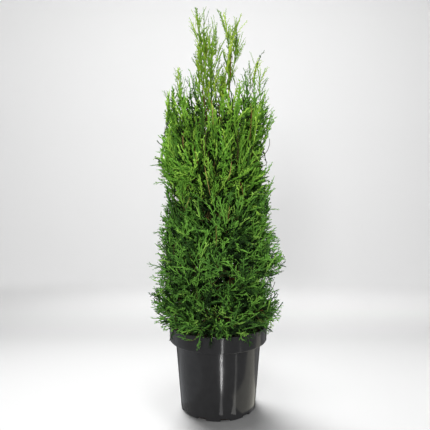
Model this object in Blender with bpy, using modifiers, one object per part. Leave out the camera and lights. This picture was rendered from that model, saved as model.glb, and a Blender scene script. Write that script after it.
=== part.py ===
"""A young emerald green arborvitae in its round nursery pot.

The pot stands on its flat underside, with the origin at the middle of that face.
The trunk rises from the compost, forks low down into a second leader, and carries
boughs and masses of foliage all round.  The photographed side faces -Y, +X is to
the right of the photograph and +Z is up.  All sizes are in metres.
"""
import math
import random

import bmesh
import bpy
from mathutils import Matrix, Vector

CLEAR = 0.0003

POT_HEIGHT = 0.1945
RIM_RADIUS = 0.115
COLLAR_HEIGHT = 0.0365
COLLAR_DRAFT = 0.0012
BODY_TOP_RADIUS = 0.100
BODY_FOOT_RADIUS = 0.0868
FOOT_ROUND = 0.0036
POT_WALL = 0.0020
POT_FLOOR = 0.0028
POT_EDGE = 0.0008
POT_STEPS = 40
ARC_STEPS = 2

DRAIN_COUNT = 10
DRAIN_FIRST = math.radians(-116)
DRAIN_WIDTH = 0.022
DRAIN_HEIGHT = 0.0065
DRAIN_REACH = 0.016

COMPOST_TOP = 0.1810
COMPOST_DISH = 0.0035
COMPOST_FLAT_RADIUS = 0.030
COMPOST_FLOOR_EDGE = 0.0015
COMPOST_STEPS = 32

GROUND = COMPOST_TOP + CLEAR
FLARE_HEIGHT = 0.022
TRUNK_ROUTE = (
    (0.000, 0.000, GROUND), (-0.001, 0.001, 0.240), (-0.004, 0.002, 0.320),
    (-0.008, 0.001, 0.420), (-0.014, -0.002, 0.530), (-0.024, -0.001, 0.650),
    (-0.038, 0.001, 0.745))
TRUNK_RADIUS = 0.0068
TRUNK_TIP_RADIUS = 0.0019
TRUNK_FLARE = 0.0040
LEADER_FORK = 0.300
LEADER_ROUTE = (
    (0.014, -0.004, 0.350), (0.022, -0.005, 0.440), (0.027, -0.003, 0.550),
    (0.026, 0.000, 0.650), (0.025, 0.001, 0.745))
LEADER_RADIUS = 0.0040
LEADER_TIP_RADIUS = 0.0018
TRUNK_STEPS = 2
BOUGH_STEPS = 2
BOUGH_RADIUS = 0.0024
BOUGH_TIP_RADIUS = 0.0015
BOUGH_STAGGER = 0.014
BOUGH_ELBOW_OUT = 0.012
BOUGH_ELBOW_UP = 0.010
# How far a limb that rises as it leaves stands off, as a share of its radius.
LEADER_STAND_OFF = 0.8
BOUGH_STAND_OFF = 0.6

HOLLOW_RADIUS = 0.046
CORE_INNER = 0.049
SPACE_GAP = 0.0011
RIM_GAP = 0.0025
RIM_DRAPE = 0.018
LIMB_GAP = 0.0012

# Crown outline: how far the outermost tips reach to each side at each height.
REACH_LEFT = (
    (0.190, 0.158), (0.260, 0.168), (0.300, 0.148), (0.335, 0.163), (0.380, 0.150),
    (0.425, 0.150), (0.485, 0.128), (0.545, 0.148), (0.600, 0.153), (0.655, 0.137),
    (0.750, 0.124), (0.800, 0.100), (0.850, 0.070))
REACH_RIGHT = (
    (0.190, 0.134), (0.235, 0.158), (0.295, 0.128), (0.340, 0.163), (0.400, 0.143),
    (0.455, 0.124), (0.520, 0.138), (0.605, 0.110), (0.670, 0.130), (0.750, 0.115),
    (0.800, 0.102), (0.850, 0.086))

# Shelves between the tiers of foliage: height at the axis, and rise for each metre out.
SHELVES = ((0.225, 0.45), (0.335, 0.60), (0.440, 0.75), (0.550, 0.90), (0.700, 1.20))
CROWN_SHOULDER = 0.742
CROWN_SHOULDER_SIDES = 0.105
# Tier name, masses round it, first one's bearing and the climb of its sprays in degrees.
TIERS = (
    ("skirt", 6, 30, 14), ("low", 5, 6, 32), ("middle", 5, 54, 45),
    ("upper", 6, 12, 56), ("shoulder", 4, 0, 68))
BOUGH_TIERS = {"upper": 0.462, "shoulder": 0.585}
SPIRES = (
    ("left", (-0.042, 0.0, 0.941), -1), ("right", (0.033, 0.0, 0.936), 1))
SPIRE_RADIUS = 0.031
SPIRE_PART = -0.004
SPIRE_CLIMB = 66
SPIRE_CLIMB_GAIN = 14
SPIRE_CLIMB_JITTER = 5
SPIRE_SPRAYS = 9
SPIRE_STEM_SHORT = 0.035
SPIRE_STEM_FROM = 0.04
SPIRE_STEM_SPAN = 0.84
SPIRE_TWIG = 0.014
SPIRE_SEED = 903
MASS_SEED = 40
TIER_SEED = 10
GOLDEN_TURN = math.radians(137.5)
MEAN_RADIUS = 0.1

STEM_RADIUS = 0.0018
STEM_TIP_RADIUS = 0.0009
STEM_LEVEL = 0.006
STEM_REACH = 0.78
STEM_SHARES = (0.30, 0.65, 1.00)
STEM_HEIGHT = 0.42
STEM_RISE = 0.10
TWIG_RADIUS = 0.0012
TWIG_TIP_RADIUS = 0.0007
CORE_REACH = 0.84
CORE_LUMP = 0.07
CORE_SQUARE = 0.98
CORE_BREADTH = 0.965
CORE_DEPTH = 0.48
CORE_TOP = 0.738
CORE_TOP_DOME = 0.02
SPRAY_LENGTH = 0.060
SPRAY_SHORTEST = 0.030
SPRAY_THICK = 0.030
SPRAY_SINK = 0.14
SPRAY_SIZES = (0.85, 1.10)
SPRAY_ROLL = 50
SPRAY_CURL = 0.12
SPRAY_SHRINK = 0.86
SPRAY_DRAW_IN = 0.06
SPRAY_SAMPLES = 4
# Where sprays stand on a mass: rows up its space, and columns across it.
SPRAY_ROWS = (0.30, 0.62, 0.93)
SPRAY_COLUMNS = 3
SPRAY_COLUMN_TURN = 0.62
SPRAY_ROW_SHIFT = 0.20
SPRAY_JITTER = 0.12
SPRAY_FALL_SHORT = 0.012
CLIMB_JITTER = 12
TWIG_EVERY = 3
# Half outline of a spray: share of its length along, and out from the midrib.
SPRAY_TEETH = ((0.00, 0.03), (0.36, 0.24), (0.47, 0.11), (0.70, 0.19), (0.78, 0.06))
SPRAY_RIB = 0.45

COLOURS = {
    "pot": (0.030, 0.031, 0.033), "compost": (0.045, 0.030, 0.020),
    "wood": (0.200, 0.120, 0.065), "skirt": (0.060, 0.120, 0.045),
    "low": (0.070, 0.150, 0.045), "middle": (0.085, 0.180, 0.045),
    "upper": (0.100, 0.210, 0.050), "shoulder": (0.160, 0.290, 0.070),
    "spire": (0.220, 0.340, 0.110)}


def clear_scene():
    for item in list(bpy.data.objects):
        bpy.data.objects.remove(item, do_unlink=True)


def material(name, roughness=0.6):
    made = bpy.data.materials.get(name)
    if made is None:
        made = bpy.data.materials.new(name)
        made.use_nodes = True
        shader = made.node_tree.nodes["Principled BSDF"]
        shader.inputs["Base Color"].default_value = (*COLOURS[name], 1.0)
        shader.inputs["Roughness"].default_value = roughness
    return made


def collection(name):
    made = bpy.data.collections.new(name)
    bpy.context.scene.collection.children.link(made)
    return made


def add_object(name, data, group, colour, roughness=0.6):
    made = bpy.data.objects.new(name, data)
    group.objects.link(made)
    if colour:
        made.data.materials.append(material(colour, roughness))
    return made


def mesh_object(name, form, group, colour=None):
    mesh = bpy.data.meshes.new(name)
    form.to_mesh(mesh)
    form.free()
    return add_object(name, mesh, group, colour)


def turned(name, profile, steps, group, colour, roughness):
    """Turn an open profile of (radius, height) points about the Z axis."""
    form = bmesh.new()
    points = [form.verts.new((radius, 0.0, height)) for radius, height in profile]
    for first, second in zip(points, points[1:]):
        form.edges.new((first, second))
    made = mesh_object(name, form, group)
    made.data.materials.append(material(colour, roughness))
    screw = made.modifiers.new("turn", "SCREW")
    screw.steps = steps
    screw.render_steps = steps
    screw.use_merge_vertices = True
    screw.merge_threshold = 0.00001
    screw.use_smooth_shade = True
    return made


def polar(radius, bearing, height):
    return Vector((radius * math.cos(bearing), radius * math.sin(bearing), height))


def arc(centre, radius, start, end, count):
    """Points of a circular arc in the plane of the profile, angles in degrees."""
    points = []
    for step in range(count + 1):
        angle = math.radians(start + (end - start) * step / count)
        points.append((centre[0] + radius * math.cos(angle), centre[1] + radius * math.sin(angle)))
    return points


def body_radius(height):
    """Outer radius of the pot's tapering body under the collar."""
    share = height / (POT_HEIGHT - COLLAR_HEIGHT)
    return BODY_FOOT_RADIUS + (BODY_TOP_RADIUS - BODY_FOOT_RADIUS) * share


def make_pot(group, cutters):
    """The turned pot, with its wide collar, and the drain slots round its foot."""
    ledge = POT_HEIGHT - COLLAR_HEIGHT
    top = POT_HEIGHT - POT_WALL / 2
    foot = body_radius(FOOT_ROUND) - FOOT_ROUND
    profile = [(0.0, POT_FLOOR), (body_radius(POT_FLOOR) - POT_WALL - POT_EDGE, POT_FLOOR)]
    profile.append((BODY_TOP_RADIUS - POT_WALL, ledge))
    profile.append((RIM_RADIUS - COLLAR_DRAFT - POT_WALL, ledge + POT_WALL))
    profile.append((RIM_RADIUS - POT_WALL, top))
    profile += arc((RIM_RADIUS - POT_WALL / 2, top), POT_WALL / 2, 145, 35, ARC_STEPS)
    profile.append((RIM_RADIUS, top - POT_WALL))
    profile.append((RIM_RADIUS - COLLAR_DRAFT, ledge + POT_EDGE))
    profile.append((RIM_RADIUS - COLLAR_DRAFT - POT_EDGE, ledge))
    profile.append((BODY_TOP_RADIUS, ledge - POT_WALL))
    profile += arc((foot, FOOT_ROUND), FOOT_ROUND, 0, -90, ARC_STEPS)
    profile.append((0.0, 0.0))
    pot = turned("pot", profile, POT_STEPS, group, "pot", 0.3)
    for index in range(DRAIN_COUNT):
        bearing = DRAIN_FIRST + index * math.tau / DRAIN_COUNT
        form = bmesh.new()
        bmesh.ops.create_cube(form, size=1.0)
        bmesh.ops.scale(form, vec=(DRAIN_REACH, DRAIN_WIDTH, DRAIN_HEIGHT * 2), verts=form.verts)
        cutter = mesh_object(f"drain_cutter_{index + 1}", form, cutters)
        cutter.location = polar(BODY_FOOT_RADIUS, bearing, 0.0)
        cutter.rotation_euler = (0.0, 0.0, bearing)
        cutter.hide_render = True
        cutter.display_type = "WIRE"
    cut = pot.modifiers.new("drains", "BOOLEAN")
    cut.operation = "DIFFERENCE"
    cut.operand_type = "COLLECTION"
    cut.collection = cutters


def make_compost(group):
    """The fill of the pot, flat round the trunk and a little dished at the wall."""
    ledge = POT_HEIGHT - COLLAR_HEIGHT
    wall = POT_WALL + CLEAR * 1.5
    edge = COMPOST_TOP - COMPOST_DISH
    profile = [
        (0.0, COMPOST_TOP), (COMPOST_FLAT_RADIUS, COMPOST_TOP),
        (RIM_RADIUS * 0.7, COMPOST_TOP - COMPOST_DISH * 0.4),
        (RIM_RADIUS - COLLAR_DRAFT - wall, edge),
        (RIM_RADIUS - COLLAR_DRAFT - wall, ledge + wall + CLEAR),
        (BODY_TOP_RADIUS - wall - CLEAR, ledge + CLEAR),
        (body_radius(POT_FLOOR) - wall - COMPOST_FLOOR_EDGE, POT_FLOOR + CLEAR),
        (0.0, POT_FLOOR + CLEAR)]
    turned("compost", profile, COMPOST_STEPS, group, "compost", 0.95)


def smooth_route(points, steps):
    """Points of a smooth curve through the given ones, steps to each stretch."""
    route = [Vector(point) for point in points]
    padded = [route[0] * 2 - route[1]] + route + [route[-1] * 2 - route[-2]]
    result = [route[0]]
    for index in range(1, len(padded) - 2):
        a, b, c, d = padded[index - 1:index + 3]
        for step in range(1, steps + 1):
            t = step / steps
            bend = (a * -1 + b * 3 - c * 3 + d) * t ** 3
            slow = (a * 2 - b * 5 + c * 4 - d) * t ** 2
            result.append((bend + slow + (c - a) * t + b * 2) * 0.5)
    return result


class Limb:
    """A tapering limb: its route, its radius at each point, and its name."""

    def __init__(self, name, points, steps, start_radius, tip_radius, flare=0.0):
        self.name = name
        self.points = smooth_route(points, steps)
        lengths = [0.0]
        for first, second in zip(self.points, self.points[1:]):
            lengths.append(lengths[-1] + (second - first).length)
        self.radii = []
        for length in lengths:
            radius = start_radius + (tip_radius - start_radius) * length / lengths[-1]
            self.radii.append(radius + flare * math.exp(-length / (FLARE_HEIGHT / 2)))

    def at_height(self, height):
        """The limb's axis and radius at a height."""
        for index in range(len(self.points) - 1):
            low, high = self.points[index], self.points[index + 1]
            if low.z <= height <= high.z:
                share = (height - low.z) / (high.z - low.z)
                radius = self.radii[index] * (1 - share) + self.radii[index + 1] * share
                return low.lerp(high, share), radius
        return self.points[-1], self.radii[-1]

    def clearance(self, point):
        """Distance from a point to the limb's surface."""
        nearest = 1.0
        for index in range(len(self.points) - 1):
            low, high = self.points[index], self.points[index + 1]
            along = high - low
            share = max(0.0, min(1.0, (point - low).dot(along) / along.length_squared))
            radius = self.radii[index] * (1 - share) + self.radii[index + 1] * share
            nearest = min(nearest, (point - low.lerp(high, share)).length - radius)
        return nearest

    def build(self, group):
        curve = bpy.data.curves.new(self.name, "CURVE")
        curve.dimensions = "3D"
        curve.bevel_depth = 1.0
        curve.bevel_resolution = 2
        curve.use_fill_caps = True
        spline = curve.splines.new("POLY")
        spline.points.add(len(self.points) - 1)
        for index, point in enumerate(self.points):
            spline.points[index].co = (*point, 1.0)
            spline.points[index].radius = self.radii[index]
        add_object(self.name, curve, group, "wood", 0.8)


def interpolate(table, value):
    """Straight-line reading of a table of (position, amount) pairs."""
    if value <= table[0][0]:
        return table[0][1]
    for (low, first), (high, second) in zip(table, table[1:]):
        if value <= high:
            return first + (second - first) * (value - low) / (high - low)
    return table[-1][1]


def crown_reach(height, bearing):
    """How far from the axis the crown's tips reach at a height, on a bearing."""
    right = (1.0 + math.cos(bearing)) / 2
    left_reach = interpolate(REACH_LEFT, height)
    return left_reach + (interpolate(REACH_RIGHT, height) - left_reach) * right


def crown_top(bearing):
    """The crown's highest reach outside the spires: higher at the two sides."""
    return CROWN_SHOULDER + CROWN_SHOULDER_SIDES * math.cos(bearing) ** 2


class TierSpace:
    """The space of one mass: a wedge of one tier, from the hollow middle to the outline."""

    def __init__(self, tier, bearing, half_angle):
        self.tier = tier
        self.bearing = bearing
        self.half_angle = half_angle

    def floor(self, radius):
        if self.tier > 0:
            height, rise = SHELVES[self.tier - 1]
            return height + rise * radius + SPACE_GAP
        if radius < RIM_RADIUS + RIM_GAP:
            return POT_HEIGHT + RIM_GAP
        return POT_HEIGHT - RIM_DRAPE

    def ceiling(self, radius):
        height, rise = SHELVES[self.tier]
        return min(height + rise * radius, crown_top(self.bearing)) - SPACE_GAP

    def middle(self, radius, share=0.5):
        low = max(self.floor(radius), POT_HEIGHT + RIM_GAP)
        return low + (self.ceiling(radius) - low) * share

    def holds(self, point):
        radius = math.hypot(point.x, point.y)
        if radius < HOLLOW_RADIUS:
            return False
        bearing = math.atan2(point.y, point.x)
        turn = (bearing - self.bearing + math.pi) % math.tau - math.pi
        if abs(turn) > self.half_angle - SPACE_GAP / radius:
            return False
        if radius > crown_reach(point.z, bearing):
            return False
        return self.floor(radius) < point.z < self.ceiling(radius)


class SpireSpace:
    """The space of a top spire: a column round a leader's tip, on its side of the gap."""

    def __init__(self, centre, side):
        self.centre = centre
        self.side = side

    def holds(self, point):
        if (point.x - SPIRE_PART) * self.side < SPACE_GAP * 2:
            return False
        if math.hypot(point.x - self.centre.x, point.y - self.centre.y) > SPIRE_RADIUS:
            return False
        radius = math.hypot(point.x, point.y)
        height, rise = SHELVES[-1]
        if radius > HOLLOW_RADIUS - SPACE_GAP and point.z < height + rise * radius + SPACE_GAP:
            return False
        return height < point.z < self.centre.z


def sweep(points, radii):
    """A three-sided tapering stem along the points, closed at both ends."""
    form = bmesh.new()
    rings = []
    side = Vector((0.0, 0.0, 1.0))
    for index, point in enumerate(points):
        before = points[max(index - 1, 0)]
        after = points[min(index + 1, len(points) - 1)]
        along = (after - before).normalized()
        across = along.cross(side).normalized()
        upward = across.cross(along)
        ring = []
        for corner in range(3):
            angle = math.tau * corner / 3
            offset = across * math.cos(angle) + upward * math.sin(angle)
            ring.append(form.verts.new(point + offset * radii[index]))
        rings.append(ring)
    for first, second in zip(rings, rings[1:]):
        for corner in range(3):
            following = (corner + 1) % 3
            form.faces.new((first[corner], first[following], second[following], second[corner]))
    form.faces.new(reversed(rings[0]))
    form.faces.new(rings[-1])
    bmesh.ops.recalc_face_normals(form, faces=form.faces)
    return form


def twig(start, end):
    """A straight three-sided twig."""
    form = bmesh.new()
    along = end - start
    bmesh.ops.create_cone(
        form, cap_ends=True, segments=3, radius1=TWIG_RADIUS, radius2=TWIG_TIP_RADIUS,
        depth=along.length)
    turn = along.to_track_quat("Z", "Y").to_matrix().to_4x4()
    bmesh.ops.transform(
        form, matrix=Matrix.Translation((start + end) / 2) @ turn, verts=form.verts)
    return form


def spray_points(root, along, across, length, curl):
    """The toothed outline of a spray, then the two sides of its midrib."""
    normal = along.cross(across)
    outline = [(share, width) for share, width in SPRAY_TEETH] + [(1.0, 0.0)]
    outline += [(share, -width) for share, width in reversed(SPRAY_TEETH)]
    points = []
    for share, width in outline:
        place = along * share + across * width + normal * curl * share * share
        points.append(root + place * length)
    rib = root + (along * SPRAY_RIB + normal * curl * SPRAY_RIB ** 2) * length
    half = normal * SPRAY_THICK * length / 2
    return points, rib + half, rib - half


def spray(points, upper, lower):
    """A spray of needles as one toothed blade, thickest at its midrib."""
    form = bmesh.new()
    edge = [form.verts.new(point) for point in points]
    top = form.verts.new(upper)
    bottom = form.verts.new(lower)
    for first, second in zip(edge, edge[1:] + edge[:1]):
        form.faces.new((first, second, top))
        form.faces.new((second, first, bottom))
    bmesh.ops.recalc_face_normals(form, faces=form.faces)
    return form


def core(space, dice):
    """The dense inside of a mass: a rounded block that fills most of its space."""
    form = bmesh.new()
    bmesh.ops.create_icosphere(form, subdivisions=2, radius=1.0)
    for vert in form.verts:
        swell = max(abs(vert.co.x), abs(vert.co.y), abs(vert.co.z)) ** -CORE_SQUARE
        place = vert.co * swell
        lump = 1.0 - CORE_LUMP * dice.random()
        bearing = space.bearing - place.x * lump * space.half_angle * CORE_BREADTH
        rough_height = space.middle(MEAN_RADIUS, 0.5 + place.z * CORE_DEPTH)
        outer = crown_reach(rough_height, bearing) * CORE_REACH
        radius = CORE_INNER + (outer - CORE_INNER) * (place.y * lump + 1) / 2
        height = space.middle(radius, 0.5 + place.z * lump * CORE_DEPTH)
        dome = CORE_TOP_DOME * lump * place.y ** 2
        vert.co = polar(radius, bearing, min(height, CORE_TOP - dome))
    return form


def between(first, second, count):
    return [first.lerp(second, step / count) for step in range(1, count)]


def fits(space, points, limbs):
    """True where a spray's points, and points between them, keep to their space."""
    samples = list(points)
    for first, second in zip(points, points[1:]):
        samples += between(first, second, SPRAY_SAMPLES)
    for point in samples:
        if not space.holds(point):
            return False
        if any(limb.clearance(point) < LIMB_GAP for limb in limbs):
            return False
    return True


def grow_spray(space, limbs, stem_point, tip, along, dice, twigged=True):
    """Forms of a spray that ends at the tip, and of its twig, or none where they don't fit."""
    roll = math.radians(dice.uniform(-SPRAY_ROLL, SPRAY_ROLL))
    level = along.cross(Vector((0, 0, 1))).normalized()
    across = level * math.cos(roll) + along.cross(level) * math.sin(roll)
    length = SPRAY_LENGTH * dice.uniform(*SPRAY_SIZES)
    curl = dice.uniform(-SPRAY_CURL, SPRAY_CURL)
    while length > SPRAY_SHORTEST:
        end = tip - along.cross(across) * curl * length
        root = end - along * length
        points, upper, lower = spray_points(root, along, across, length, curl)
        if fits(space, points, limbs):
            forms = [spray(points, upper, lower)]
            if twigged:
                forms.append(twig(stem_point, root + along * length * SPRAY_SINK))
            return forms
        length *= SPRAY_SHRINK
        tip = tip.lerp(stem_point, SPRAY_DRAW_IN)
    return []


def union(name, base, forms, group, colour):
    """Join the forms to the base in one Boolean and keep the single closed body."""
    made = mesh_object(name, base, group, colour)
    joined = collection(name + "_forms")
    for index, form in enumerate(forms):
        mesh_object(f"{name}_form_{index}", form, joined)
    boolean = made.modifiers.new("fuse", "BOOLEAN")
    boolean.operation = "UNION"
    boolean.operand_type = "COLLECTION"
    boolean.collection = joined
    graph = bpy.context.evaluated_depsgraph_get()
    mesh = bpy.data.meshes.new_from_object(made.evaluated_get(graph))
    made.modifiers.clear()
    made.data = mesh
    for item in list(joined.objects):
        bpy.data.objects.remove(item, do_unlink=True)
    bpy.data.collections.remove(joined)
    keep_largest_body(mesh)


def keep_largest_body(mesh):
    """Drop loose scraps and fill sealed hollows: only the largest shell stays."""
    form = bmesh.new()
    form.from_mesh(mesh)
    bodies = []
    unseen = set(form.verts)
    while unseen:
        edge = [unseen.pop()]
        body = set(edge)
        while edge:
            for link in edge.pop().link_edges:
                for vert in link.verts:
                    if vert in unseen:
                        unseen.discard(vert)
                        body.add(vert)
                        edge.append(vert)
        bodies.append(body)
    largest = max(bodies, key=len)
    loose = [vert for vert in form.verts if vert not in largest]
    bmesh.ops.delete(form, geom=loose, context="VERTS")
    bmesh.ops.triangulate(form, faces=form.faces)
    form.to_mesh(mesh)
    form.free()


def root_at(limb, height, target, stand_off=0.0):
    """A point just clear of a limb's surface, facing the target, and the level way out."""
    axis, limb_radius = limb.at_height(height)
    way = Vector((target.x - axis.x, target.y - axis.y, 0.0)).normalized()
    return axis + way * (limb_radius + CLEAR + stand_off), way


def make_boughs(limbs, carriers):
    """One bough to each mass of the tiers that have them, by mass name."""
    boughs = {}
    for tier, (tier_name, count, first, climb) in enumerate(TIERS):
        if tier_name not in BOUGH_TIERS:
            continue
        for index in range(count):
            bearing = math.radians(first + 360 * index / count)
            space = TierSpace(tier, bearing, math.pi / count)
            tip = polar(HOLLOW_RADIUS, bearing, space.middle(HOLLOW_RADIUS))
            height = BOUGH_TIERS[tier_name] + BOUGH_STAGGER * (index % 2)
            carrier = nearest_carrier(carriers, tip, height)
            start, way = root_at(carrier, height, tip, BOUGH_RADIUS * BOUGH_STAND_OFF)
            elbow = start + way * BOUGH_ELBOW_OUT + Vector((0, 0, BOUGH_ELBOW_UP))
            name = f"bough_{tier_name}_{index + 1}"
            route = (start, elbow, elbow.lerp(tip, 0.5), tip)
            bough = Limb(name, route, BOUGH_STEPS, BOUGH_RADIUS, BOUGH_TIP_RADIUS)
            boughs[tier_name, index] = bough
            limbs.append(bough)
    return boughs


def nearest_carrier(carriers, target, height):
    """The trunk, or the second leader where that is there and nearer."""
    trunk, leader = carriers
    if height < leader.points[1].z:
        return trunk
    distances = []
    for limb in carriers:
        axis, radius = limb.at_height(height)
        distances.append(math.hypot(axis.x - target.x, axis.y - target.y))
    return leader if distances[1] < distances[0] else trunk


def stem_route(space, start, way, outer):
    """The route of a mass's stem from its root out through the middle of its space."""
    points = [start, start + way * STEM_LEVEL]
    for share in STEM_SHARES:
        radius = HOLLOW_RADIUS + (outer - HOLLOW_RADIUS) * share
        height = space.middle(radius, STEM_HEIGHT + STEM_RISE * share)
        points.append(polar(radius, space.bearing, height))
    return points


def mass_start(space, tier_name, index, boughs, carriers):
    """Where a mass's stem begins, clear of its bough's tip or of the trunk, and its way."""
    if (tier_name, index) in boughs:
        before, tip = boughs[tier_name, index].points[-2:]
        way = (tip - before).normalized()
        return tip + way * CLEAR, way
    target = polar(HOLLOW_RADIUS, space.bearing, 0.0)
    height = space.middle(TRUNK_RADIUS, STEM_HEIGHT + STEM_RISE * (index % 2))
    return root_at(nearest_carrier(carriers, target, height), height, target)


def tapered(count):
    """Radii of a stem with this many points, from its root to its tip."""
    return [STEM_RADIUS + (STEM_TIP_RADIUS - STEM_RADIUS) * step / (count - 1)
            for step in range(count)]


def mass_sprays(space, climb, route, limbs, dice):
    """Sprays in rows and columns over the outside of a mass, some of them on twigs."""
    forms = []
    for row, share in enumerate(SPRAY_ROWS):
        for column in range(SPRAY_COLUMNS):
            turn = SPRAY_COLUMN_TURN * (column - 1) + SPRAY_ROW_SHIFT * (row % 2)
            turn += dice.uniform(-SPRAY_JITTER, SPRAY_JITTER)
            side = space.bearing + turn * space.half_angle
            reach = crown_reach(space.middle(MEAN_RADIUS, share), side)
            radius = reach - dice.uniform(0.0, SPRAY_FALL_SHORT)
            tip = polar(radius, side, space.middle(radius, share))
            rise = math.radians(climb + dice.uniform(-CLIMB_JITTER, CLIMB_JITTER))
            along = polar(math.cos(rise), side, math.sin(rise))
            stem_point = route[2].lerp(route[3], share)
            twigged = (row + column) % TWIG_EVERY == 0
            forms += grow_spray(space, limbs, stem_point, tip, along, dice, twigged)
    return forms


def make_mass(tier, index, boughs, carriers, limbs, group):
    """One mass of a tier: its stem, its core and the sprays that stand out of it."""
    tier_name, count, first, climb = TIERS[tier]
    bearing = math.radians(first + 360 * index / count)
    space = TierSpace(tier, bearing, math.pi / count)
    dice = random.Random(MASS_SEED + TIER_SEED * tier + index)
    start, way = mass_start(space, tier_name, index, boughs, carriers)
    outer = crown_reach(space.middle(MEAN_RADIUS), bearing) * STEM_REACH
    route = stem_route(space, start, way, outer)
    forms = [sweep(route, tapered(len(route)))]
    forms += mass_sprays(space, climb, route, limbs, dice)
    union(f"foliage_{tier_name}_{index + 1}", core(space, dice), forms, group, tier_name)


def make_spire(index, leader, limbs, group):
    """An open top mass: a stem on from the leader's tip, with twigs and sprays, no core."""
    name, top, side = SPIRES[index]
    space = SpireSpace(Vector(top), side)
    dice = random.Random(SPIRE_SEED + index)
    before, tip = leader.points[-2:]
    start = tip + (tip - before).normalized() * CLEAR
    end = Vector(top) - Vector((0, 0, SPIRE_STEM_SHORT))
    route = [start] + between(start, end, 3) + [end]
    forms = []
    for number in range(1, SPIRE_SPRAYS + 1):
        share = number / SPIRE_SPRAYS
        stem_point = start.lerp(end, SPIRE_STEM_FROM + SPIRE_STEM_SPAN * share)
        climb = SPIRE_CLIMB + SPIRE_CLIMB_GAIN * share
        rise = math.radians(climb + dice.uniform(-SPIRE_CLIMB_JITTER, SPIRE_CLIMB_JITTER))
        along = polar(math.cos(rise), number * GOLDEN_TURN, math.sin(rise))
        tip = stem_point + along * (SPRAY_LENGTH + SPIRE_TWIG)
        forms += grow_spray(space, limbs, stem_point, tip, along, dice)
    stem = sweep(route, tapered(len(route)))
    union(f"foliage_spire_{name}", stem, forms, group, "spire")


def make_leaders():
    """The trunk, which runs on as the left leader, and the right leader from its fork."""
    trunk = Limb(
        "trunk", TRUNK_ROUTE, TRUNK_STEPS, TRUNK_RADIUS, TRUNK_TIP_RADIUS, TRUNK_FLARE)
    fork, way = root_at(
        trunk, LEADER_FORK, Vector(LEADER_ROUTE[0]), LEADER_RADIUS * LEADER_STAND_OFF)
    leader = Limb(
        "leader", (fork, *LEADER_ROUTE), TRUNK_STEPS, LEADER_RADIUS, LEADER_TIP_RADIUS)
    return trunk, leader


def main():
    clear_scene()
    group = collection("potted_arborvitae")
    make_pot(group, collection("cutters"))
    make_compost(group)
    carriers = make_leaders()
    limbs = list(carriers)
    boughs = make_boughs(limbs, carriers)
    for limb in limbs:
        limb.build(group)
    for tier, (tier_name, count, first, climb) in enumerate(TIERS):
        for index in range(count):
            make_mass(tier, index, boughs, carriers, limbs, group)
    for index, leader in enumerate(carriers):
        make_spire(index, leader, limbs, group)


main()
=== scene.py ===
"""The looks of the potted emerald green arborvitae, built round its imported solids.

The foliage is grown again by the rule of the solids, mass by mass, and carried on to
finer twigs and to flat sprays of many small branchlets. The photographed side faces
-Y, +X is to the right of the photograph and +Z is up. All sizes are in metres.
"""
import math
import random
from typing import NamedTuple

import bpy
import numpy as np
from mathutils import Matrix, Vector, noise


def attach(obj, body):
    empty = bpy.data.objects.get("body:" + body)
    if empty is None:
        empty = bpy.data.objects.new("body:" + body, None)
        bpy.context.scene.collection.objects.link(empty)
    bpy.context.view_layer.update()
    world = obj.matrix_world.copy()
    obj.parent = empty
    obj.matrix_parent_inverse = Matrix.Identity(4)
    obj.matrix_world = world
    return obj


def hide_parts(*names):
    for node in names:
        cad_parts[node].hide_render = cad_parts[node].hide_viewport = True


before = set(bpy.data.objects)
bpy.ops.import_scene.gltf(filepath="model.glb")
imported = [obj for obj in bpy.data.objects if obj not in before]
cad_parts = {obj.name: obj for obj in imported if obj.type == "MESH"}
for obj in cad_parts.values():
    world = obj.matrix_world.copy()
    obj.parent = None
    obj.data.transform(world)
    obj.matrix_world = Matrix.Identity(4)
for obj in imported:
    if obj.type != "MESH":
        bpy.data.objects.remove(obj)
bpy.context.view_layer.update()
UP = Vector((0, 0, 1))

# The pot and its fill, as in the solids.
CLEAR = 0.0003
POT_HEIGHT = 0.1945
RIM_RADIUS = 0.115
COLLAR_HEIGHT = 0.0365
COLLAR_DRAFT = 0.0012
BODY_TOP_RADIUS = 0.100
BODY_FOOT_RADIUS = 0.0868
FOOT_ROUND = 0.0036
POT_WALL = 0.0020
POT_FLOOR = 0.0028
DRAIN_COUNT = 10
DRAIN_FIRST = math.radians(-116)
COMPOST_TOP = 0.1810
COMPOST_DISH = 0.0035

# Finer shape of the pot and its fill.
LEDGE = POT_HEIGHT - COLLAR_HEIGHT
POT_SIDES = 192
RIM_BEAD = 0.0008
COLLAR_ROUND = 0.0022
LEDGE_ROUND = 0.0012
DRAIN_SIZE = (0.016, 0.022, 0.013)
COMPOST_WALL = POT_WALL + CLEAR * 1.5
COMPOST_EDGE = RIM_RADIUS - COLLAR_DRAFT - COMPOST_WALL - 0.0002
COMPOST_SIDES = 96
COMPOST_RINGS = 28
COMPOST_LUMP = 0.0018
COMPOST_CRUMBS = 900
CRUMB_SIZES = (0.0005, 0.0022)
CRUMB_SINK = 0.0010
POT_COLOUR = (0.020, 0.020, 0.021)
POT_GRAIN = ((0.30, (0.019, 0.019, 0.020)), (0.70, (0.023, 0.023, 0.024)))
PEAT_COLOUR = (0.03, 0.02, 0.013)
PEAT_GRAIN = (
    (0.30, (0.010, 0.007, 0.005)), (0.55, (0.038, 0.024, 0.015)), (0.75, (0.090, 0.055, 0.032)))
CRUMB_COLOUR = (0.075, 0.042, 0.024)

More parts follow.
